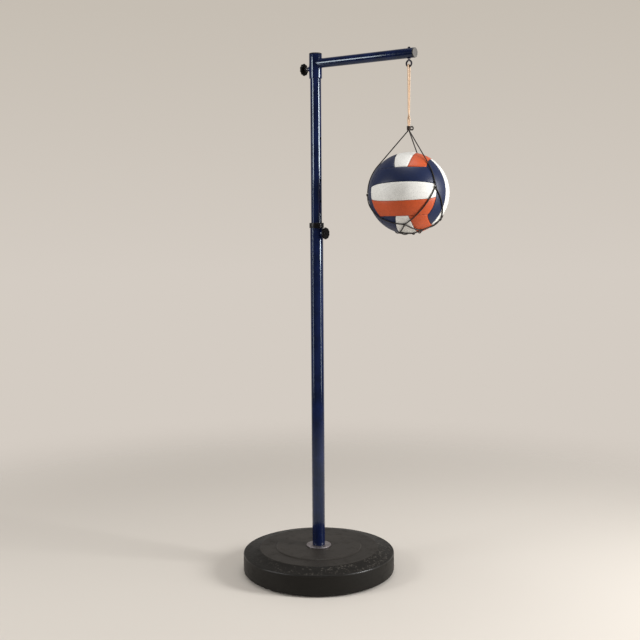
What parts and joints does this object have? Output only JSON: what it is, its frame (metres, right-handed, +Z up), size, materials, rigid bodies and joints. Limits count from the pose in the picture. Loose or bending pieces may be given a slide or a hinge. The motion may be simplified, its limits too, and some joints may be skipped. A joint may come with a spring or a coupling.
{
  "type": "volleyball tether trainer",
  "caption": "Free-standing training stand: a round weighted base, a telescopic mast and a swivel arm that hangs a netted volleyball on an elastic tether.",
  "frame": {"origin": "centre of the base's underside on the floor, on the mast's axis", "axes": "+Z up along the mast, +X along the arm from the mast to the ball"},
  "size_m": [0.6107, 0.428, 1.449],
  "materials": {
    "navy_paint": "gloss",
    "base_rubber": "matte",
    "cast_iron": "matte",
    "dark_steel": "satin",
    "plated_steel": "satin",
    "black_plastic": "satin",
    "grey_plastic": "satin",
    "brass": "satin",
    "elastic": "satin",
    "brown_plastic": "satin",
    "net_cord": "matte",
    "ball_navy": "satin",
    "ball_white": "satin",
    "ball_orange": "satin",
    "bladder_rubber": "matte"
  },
  "bodies": {
    "stand": {"base_cover": "base_rubber", "base_core": "cast_iron", "base_pad": "base_rubber", "base_bolt": "dark_steel", "base_bolt_washer": "plated_steel", "foot_flange": "plated_steel", "foot_plug": "plated_steel", "lower_tube": "navy_paint", "mast_collar": "black_plastic", "lower_boss": "navy_paint"},
    "upper_mast": {"upper_tube": "navy_paint", "tube_guide": "black_plastic"},
    "lower_tip": {"lower_screw_tip": "brass"},
    "lower_handle": {"lower_stud": "dark_steel", "lower_knob": "black_plastic"},
    "arm": {"arm_sleeve": "navy_paint", "sleeve_cap": "black_plastic", "upper_boss": "navy_paint", "arm_tube": "navy_paint", "arm_end_cap": "grey_plastic", "eye_bolt": "plated_steel", "eye_nut": "plated_steel", "eye_washer": "plated_steel"},
    "upper_tip": {"upper_screw_tip": "brass"},
    "upper_handle": {"upper_stud": "dark_steel", "upper_knob": "black_plastic"},
    "tether_loop": {"tether_bight": "elastic"},
    "tether": {"tether_strand_a": "elastic", "tether_strand_b": "elastic"},
    "clamp": {"cord_clamp": "brown_plastic", "clamp_side_loop": "net_cord"},
    "ball": {"net_strand_left": "net_cord", "net_strand_front": "net_cord", "net_strand_back": "net_cord", "ball_net": "net_cord", "ball_bladder": "bladder_rubber", "ball_valve": "bladder_rubber", "panel_front_navy": "ball_navy", "panel_front_white": "ball_white", "panel_front_orange": "ball_orange", "panel_back_navy": "ball_navy", "panel_back_white": "ball_white", "panel_back_orange": "ball_orange", "panel_top_navy": "ball_navy", "panel_top_white": "ball_white", "panel_top_orange": "ball_orange", "panel_bottom_navy": "ball_navy", "panel_bottom_white": "ball_white", "panel_bottom_orange": "ball_orange", "panel_right_navy": "ball_navy", "panel_right_white": "ball_white", "panel_right_orange": "ball_orange", "panel_left_navy": "ball_navy", "panel_left_white": "ball_white", "panel_left_orange": "ball_orange"}
  },
  "joints": [
    {"name": "mast_height", "type": "slide", "parent": "stand", "child": "upper_mast", "axis": [0, 0, 1], "range_m": [-0.385, 0.25]},
    {"name": "lower_tip_slide", "type": "slide", "parent": "stand", "child": "lower_tip", "axis": [1, 0, 0], "range_m": [0, 0.0025]},
    {"name": "lower_knob_turn", "type": "hinge", "parent": "lower_tip", "child": "lower_handle", "pos_m": [0.028, 0, 0.961], "axis": [1, 0, 0], "range_deg": [0, 720]},
    {"name": "arm_swivel", "type": "hinge", "parent": "upper_mast", "child": "arm", "pos_m": [0, 0, 1.4], "axis": [0, 0, 1], "continuous": true},
    {"name": "upper_tip_slide", "type": "slide", "parent": "arm", "child": "upper_tip", "axis": [-1, 0, 0], "range_m": [0, 0.0025]},
    {"name": "upper_knob_turn", "type": "hinge", "parent": "upper_tip", "child": "upper_handle", "pos_m": [-0.036, 0, 1.408], "axis": [-1, 0, 0], "range_deg": [0, 720]},
    {"name": "tether_swing", "type": "hinge", "parent": "arm", "child": "tether_loop", "pos_m": [0.2915, 0, 1.3875], "axis": [1, 0, 0], "range_deg": [-80, 80]},
    {"name": "tether_sway", "type": "hinge", "parent": "tether_loop", "child": "tether", "pos_m": [0.2915, 0, 1.3875], "axis": [0, -1, 0], "range_deg": [-15, 45]},
    {"name": "tether_stretch", "type": "slide", "parent": "tether", "child": "clamp", "axis": [0, 0, -1], "range_m": [0, 0.15], "stiffness_N_per_m": 250, "springref_m": -0.014, "deforming": ["tether_strand_a", "tether_strand_b"]},
    {"name": "ball_twist", "type": "hinge", "parent": "clamp", "child": "ball", "pos_m": [0.2915, 0, 1.2257], "axis": [0, 0, 1], "continuous": true}
  ],
  "couplings": [
    {"joint": "lower_knob_turn", "follows": "lower_tip_slide", "rad_per_m": 5026.5},
    {"joint": "upper_knob_turn", "follows": "upper_tip_slide", "rad_per_m": 5026.5}
  ]
}
